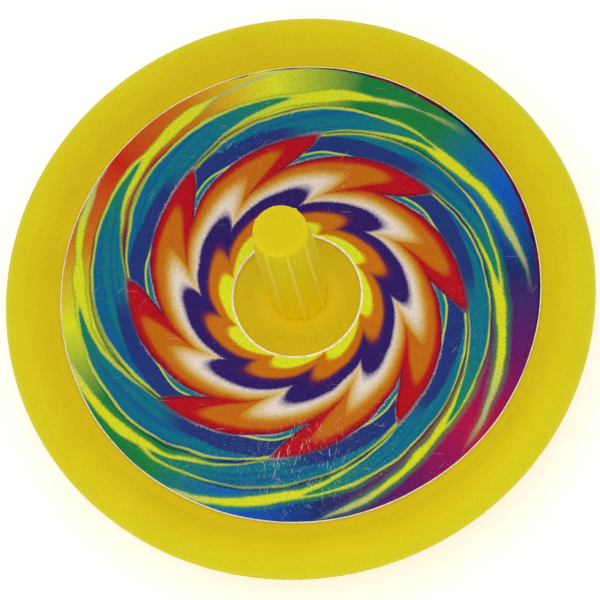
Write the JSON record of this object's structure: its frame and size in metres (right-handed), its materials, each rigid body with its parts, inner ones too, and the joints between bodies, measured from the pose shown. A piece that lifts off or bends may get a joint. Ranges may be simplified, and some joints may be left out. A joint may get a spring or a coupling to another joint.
{
  "type": "spinning top",
  "caption": "Flat finger spinning top: round-rimmed moulded disc with a printed ring label, a ribbed grip stem above and a rounded spinning point below.",
  "frame": {"origin": "the rounded spinning point at the lower end of the spindle, under the middle of the disc", "axes": "+Z along the spin axis, from the point up to the grip; the top stands as it spins, with its disc level"},
  "size_m": [0.057, 0.057, 0.0299],
  "materials": {
    "yellow_plastic": "satin, slightly translucent",
    "adhesive": "matte",
    "printed_paper": "colour print on white paper",
    "clear_film": "clear gloss laminate"
  },
  "bodies": {
    "root": {"disc": "yellow_plastic", "spindle": "yellow_plastic", "label_adhesive": "adhesive", "label_paper": "printed_paper", "label_film": "clear_film"}
  },
  "joints": []
}
